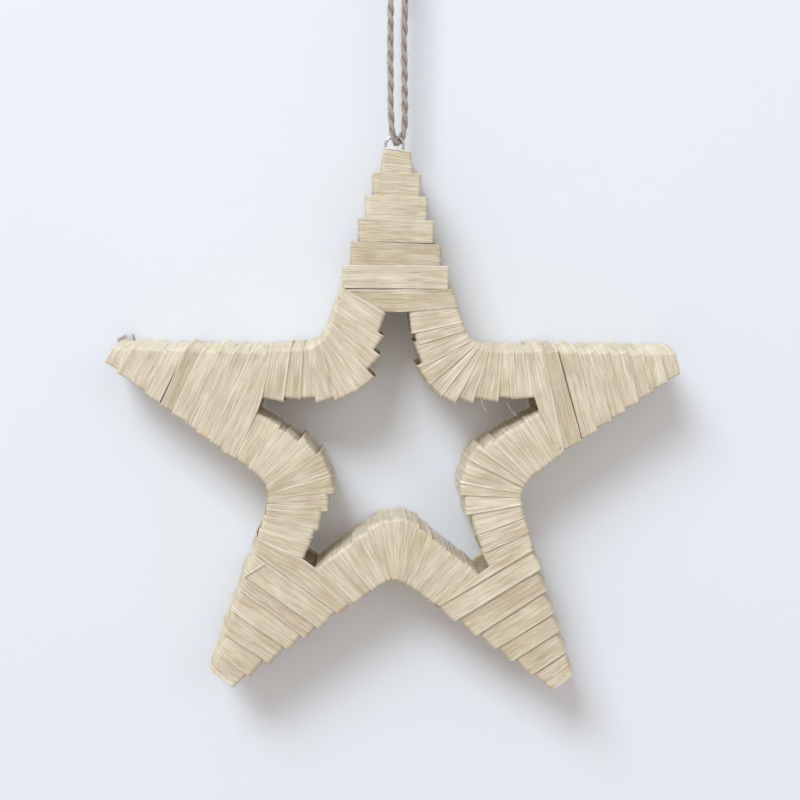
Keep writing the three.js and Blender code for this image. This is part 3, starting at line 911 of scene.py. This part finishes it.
def twisted_twine(path, step=TWINE_STEP, phase=0.0):
    """Two plies twisted together: a two-lobed section that turns once in every pitch.

    At angle a from the line through the plies the section's radius is
    offset |cos a| + sqrt(ply^2 - offset^2 sin^2 a). Returns the closed skin, with painted shade in the
    furrows between the plies, and the ring centres.
    """
    line, along = smooth_path(path, step)
    _, first, second = path_frames(line)
    angle = np.linspace(0, math.tau, TWINE_SIDES, endpoint=False)
    radius = PLY_OFFSET * np.abs(np.cos(angle)) + np.sqrt(PLY_RADIUS ** 2 - (PLY_OFFSET * np.sin(angle)) ** 2)
    turned = angle[None, :] - (math.tau * along / TWIST_PITCH + phase)[:, None]
    swell = 1 + 0.05 * np.sin(along / 3.1 + 1.0) + 0.04 * np.sin(along / 1.3)
    reach = radius[None, :, None] * swell[:, None, None]
    rings = line[:, None, :] + reach * (np.cos(turned)[..., None] * first[:, None, :]
                                        + np.sin(turned)[..., None] * second[:, None, :])
    around = np.append(angle, math.tau) * TWINE_DIAMETER / 2
    uv = np.stack(np.broadcast_arrays(along[:, None], around[None, :]), -1)
    # Painted shade: -1 in the furrows between the plies, 0 on their crowns
    groove_shade = np.tile(-np.sin(angle) ** 6, (len(along), 1))
    return closed_tube(rings, uv, line[:1], line[-1:], groove_shade), line


def many_threads(paths, radii, sides):
    """Thin round threads about paths, an array of (threads, steps, 3), that taper at both ends."""
    parts = []
    steps = paths.shape[1]
    taper = np.sqrt(np.clip(1 - (2 * np.linspace(0.02, 0.98, steps) - 1) ** 6, 0.05, 1))
    angle = np.linspace(0, math.tau, sides, endpoint=False)
    for path, radius in zip(paths, radii):
        _, first, second = path_frames(path)
        circle = np.cos(angle)[:, None] * first[:, None, :] + np.sin(angle)[:, None] * second[:, None, :]
        rings = path[:, None, :] + radius * taper[:, None, None] * circle
        uv = np.zeros((steps, sides + 1, 2))
        uv[..., 0] = np.linspace(0, 5, steps)[:, None]
        parts.append(closed_tube(rings, uv, path[:1], path[-1:]))
    return parts


def fuzz(rng, line, count, reach):
    """Stray jute hairs: each leaves the twine slantwise and curls away along it."""
    tangents, first, second = path_frames(line)
    at = rng.integers(4, len(line) - 4, count)
    angle = rng.uniform(0, math.tau, count)[:, None]
    outward = np.cos(angle) * first[at] + np.sin(angle) * second[at]
    sideways = np.cross(tangents[at], outward)
    lean = rng.choice([-1, 1], count)[:, None]
    length = rng.uniform(*HAIR_LENGTH, count)[:, None] * reach
    t = np.linspace(0, 1, 6)[None, :, None]
    curl = rng.normal(size=(count, 1)) * HAIR_CURL
    root = line[at] + outward * TWINE_DIAMETER * HAIR_ROOT
    rise = outward * HAIR_RISE * length
    run = tangents[at] * lean * HAIR_RUN * length
    bend = sideways * curl * length
    paths = root[:, None, :] + rise[:, None, :] * t ** 1.2 + run[:, None, :] * t + bend[:, None, :] * t ** 2
    return many_threads(paths, rng.uniform(*HAIR_RADIUS, count), 3)


def hanging_twine():
    """The loop of twine, its hairs and the knot that closes it."""
    rng = np.random.default_rng(7)
    loop, line = twisted_twine(TWINE_ROUTE)
    hairs = fuzz(rng, line, LOOP_HAIRS, LOOP_HAIR_REACH)
    twine = make_piece("jute_twine_loop", [loop], JUTE, [TWINE_TONE])
    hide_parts("twine_loop")
    make_piece("twine_hairs", hairs, JUTE, [1.0] * len(hairs))
    knot = twine_knot(rng)


def twine_knot(rng):
    """An overhand knot: two slanting turns about the strands, and the two ends."""
    t = np.linspace(0, 1, 44)
    angle = 2 * math.tau * t
    height = KNOT_BOTTOM + 1.9 + (KNOT_HEIGHT - 3.8) * t + 0.9 * np.sin(angle)
    wind = np.stack([KNOT_RADIUS * np.cos(angle - 1.2), 0.86 * KNOT_RADIUS * np.sin(angle - 1.2), height], 1)
    skins, lines = [twisted_twine(wind, KNOT_STEP)[0]], [wind]
    for side in (-1, 1):
        skin, line = twisted_twine(np.array(KNOT_END) * [side, side, 1], KNOT_STEP, phase=side)
        skins.append(skin)
        lines.append(line)
    hairs = []
    for line in lines:
        hairs += fuzz(rng, smooth_path(line, KNOT_STEP)[0], KNOT_HAIRS, KNOT_HAIR_REACH)
    tones = [TWINE_TONE] * len(skins) + [1.0] * len(hairs)
    piece = make_piece("twine_knot_turns", skins + hairs, JUTE, tones)
    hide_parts("twine_knot")
    return piece


def wire_eye():
    """The ring and shank of the eye: a round section carried round a circle and down a line."""
    angle = np.linspace(0, math.tau, 96, endpoint=False)[:, None]
    around = np.linspace(0, math.tau, 20, endpoint=False)
    reach = EYE_RING_RADIUS + WIRE_RADIUS * np.cos(around)
    depth = np.tile(WIRE_RADIUS * np.sin(around), (len(angle), 1))
    ring = np.stack([EYE_OFFSET + np.cos(angle) * reach, depth, np.sin(angle) * reach - EYE_DROP], -1)
    down = np.concatenate([np.linspace(SHANK_START, -1, 6), np.linspace(-2, -SHANK_LENGTH, 12)])
    radius = WIRE_RADIUS * np.concatenate([[0.95], np.ones(len(down) - 2), [0.8]])[:, None]
    z = down - EYE_DROP - EYE_RING_RADIUS
    shank = np.stack([EYE_OFFSET + radius * np.cos(around), radius * np.sin(around),
                      np.tile(z[:, None], (1, len(around)))], -1)
    ends = [np.array([[EYE_OFFSET, 0, height]]) for height in (z[0], z[-1])]
    uv = np.zeros((len(z), len(around) + 1, 2))
    parts = [closed_torus(ring), closed_tube(shank, uv, *ends)]
    piece = make_piece("bright_wire_eye", parts, STEEL)
    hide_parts("hanging_eye")


def closed_torus(rings):
    """The skin of a ring of rings, joined both ways."""
    rows, columns = rings.shape[:2]
    i, j = (grid.ravel() for grid in np.meshgrid(np.arange(rows), np.arange(columns), indexing="ij"))
    a, b = i * columns + j, i * columns + (j + 1) % columns
    c, d = (i + 1) % rows * columns + (j + 1) % columns, (i + 1) % rows * columns + j
    faces = np.vstack([np.stack([a, b, c], 1), np.stack([a, c, d], 1)])
    points = rings.reshape(-1, 3)
    if signed_volume(points, faces) < 0:
        faces = faces[:, ::-1]
    return points, faces, np.zeros((len(faces), 3, 2)), np.zeros(len(points))


# Loose ends

def left_end_fold():
    """The fold of strip behind the left arm's end: two standing sheets, each with a low and a high hump.

    A sheet's height at share t is low bell(t - LOW_PLACE) + high bell(t - HIGH_PLACE).
    """
    rng = np.random.default_rng(31)
    start = ARMS[LEFT_ARM]["edges"][0] + 4.0
    upward = -arm_point(LEFT_ARM, 0, 1)
    t = np.linspace(0, 1, 40)
    parts = []
    for depth, low, high, length in FOLD_SHEETS:
        height = low * bell(t - LOW_PLACE, LOW_WIDTH) + high * bell(t - HIGH_PLACE, HIGH_WIDTH) + 0.2
        flat = np.array([arm_point(LEFT_ARM, start - length * share, 1.0 - ARMS[LEFT_ARM]["tip"] - 0.5 * tall)
                         for share, tall in zip(t, height)])
        wave = 0.5 * np.sin(math.tau * (1.3 * t + rng.random()))
        path = np.stack([flat[:, 0], depth + wave, flat[:, 1] + STAR_Z], 1)
        parts.append(ribbon(path, (upward[0], 0.0, upward[1]), 1.0, rng, 0.5 * height + 1.0))
    # The fold is painted grey: painted shade for where it stands behind the tip
    make_piece("left_end_fold", parts, STRAW_IN_SHADE, [0.35, 0.6])


def loose_fibres():
    """Fine threads that have come loose: on the lower left arm, in the right notch and at the bulge."""
    front = -STAR_DEPTH / 2 - FIBRE_STAND
    paths = []
    for pixels, _ in FIBRES:
        flat = np.array([pixel_point(*pixel) for pixel in pixels])
        line, _ = smooth_path(np.insert(flat + [0.0, STAR_Z], 1, front, axis=1), 0.3)
        share = np.linspace(0, len(line) - 1, 24)
        paths.append(np.stack([np.interp(share, np.arange(len(line)), column) for column in line.T], 1))
    radii = [radius for _, radius in FIBRES]
    make_piece("loose_fibres", many_threads(np.array(paths), radii, 6), THREAD)


# Stage, light and camera

def build_wall():
    """A flat wall that the star's back rests against."""
    corners = [(x * WALL_HALF, WALL_PLACE, z * WALL_HALF) for x, z in ((-1, -1), (1, -1), (1, 1), (-1, 1))]
    mesh = bpy.data.meshes.new("wall")
    mesh.from_pydata(corners, [], [(0, 1, 2, 3)])
    mesh.materials.append(WALL)
    wall = bpy.data.objects.new("wall", mesh)
    bpy.context.scene.collection.objects.link(wall)


def area_light(name, place, size, power):
    """A rectangular lamp that faces the middle of the star."""
    data = bpy.data.lights.new(name, "AREA")
    data.shape = "RECTANGLE"
    data.size, data.size_y = size
    data.energy = power
    data.color = LAMP_COLOUR
    light = bpy.data.objects.new(name, data)
    light.location = place
    light.rotation_euler = look_rotation(np.array(LAMP_TARGET) - np.array(place))
    bpy.context.scene.collection.objects.link(light)


def look_rotation(direction):
    """The turn that points an object's own -Z along a direction, keeping its X level."""
    x, y, z = direction / np.linalg.norm(direction)
    return (math.acos(-z), 0.0, math.atan2(-x, y))


def build_lights():
    """Soft daylight from above and in front, with an even fill from the room."""
    area_light("window_high", place=(-2.24, -3.67, 3.9), size=(2.9, 2.1), power=306.0)
    area_light("window_right", place=(1.2, -2.2, 0.6), size=(1.6, 1.2), power=5.0)
    world = bpy.data.worlds.new("room")
    world.use_nodes = True
    background = world.node_tree.nodes["Background"]
    background.inputs["Color"].default_value = ROOM_COLOUR
    background.inputs["Strength"].default_value = ROOM_STRENGTH
    bpy.context.scene.world = world


def build_camera():
    """The eye stands up and left of the star's middle; what its turn leaves over is shift."""
    yaw, pitch, roll = (math.radians(angle) for angle in CAMERA_TURN)
    data = bpy.data.cameras.new("camera")
    data.sensor_width = SENSOR_WIDTH
    data.lens = FOCAL_PIXELS / FRAME_PIXELS * SENSOR_WIDTH
    data.shift_x, data.shift_y = CAMERA_SHIFT
    camera = bpy.data.objects.new("camera", data)
    camera.location = CAMERA_EYE
    turn = Matrix.Rotation(-yaw, 3, "Z") @ Matrix.Rotation(math.pi / 2 - pitch, 3, "X")
    camera.rotation_euler = (turn @ Matrix.Rotation(roll, 3, "Z")).to_euler()
    bpy.context.scene.collection.objects.link(camera)
    bpy.context.scene.camera = camera


build_camera()
hanging_twine()
wire_eye()
for number in range(5):
    arm_wrap(number)
    bend_wrap(number)
left_end_fold()
loose_fibres()
build_wall()
build_lights()
bpy.context.scene.view_settings.view_transform = "Standard"
